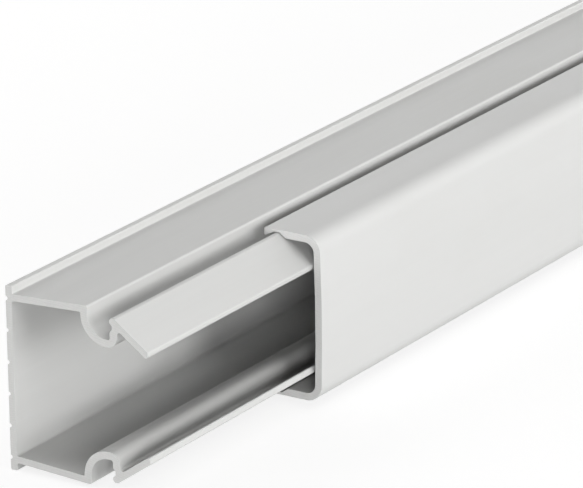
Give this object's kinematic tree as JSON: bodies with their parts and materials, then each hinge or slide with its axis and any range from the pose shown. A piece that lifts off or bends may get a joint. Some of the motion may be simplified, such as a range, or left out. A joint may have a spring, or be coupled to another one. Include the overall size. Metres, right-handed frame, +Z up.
{
  "type": "cable trunking",
  "caption": "Straight plastic cable trunking: a channel base with clip grooves and sloping ledges along both sides, and a clip-on cover that slides along it.",
  "frame": {"origin": "middle of the flat mounting face, half way along the base and half way between its two lips", "axes": "+X runs along the trunking, away from the end where the cover is drawn back; +Y points out of the mounting face, into the wall; the cover faces -Y; +Z is up as the trunking lies in the picture, from one side wall to the other"},
  "size_m": [2.0653, 0.0399, 0.0432],
  "materials": {
    "base_pvc": "satin extruded light grey-white PVC",
    "cover_pvc": "satin extruded light grey-white PVC, slightly smoother than the base"
  },
  "bodies": {
    "base": {"trunking_base": "base_pvc"},
    "cover": {"trunking_cover": "cover_pvc"}
  },
  "joints": [
    {"name": "cover_slide", "type": "slide", "parent": "base", "child": "cover", "axis": [1, 0, 0], "range_m": [-0.0653, 1.945]}
  ]
}
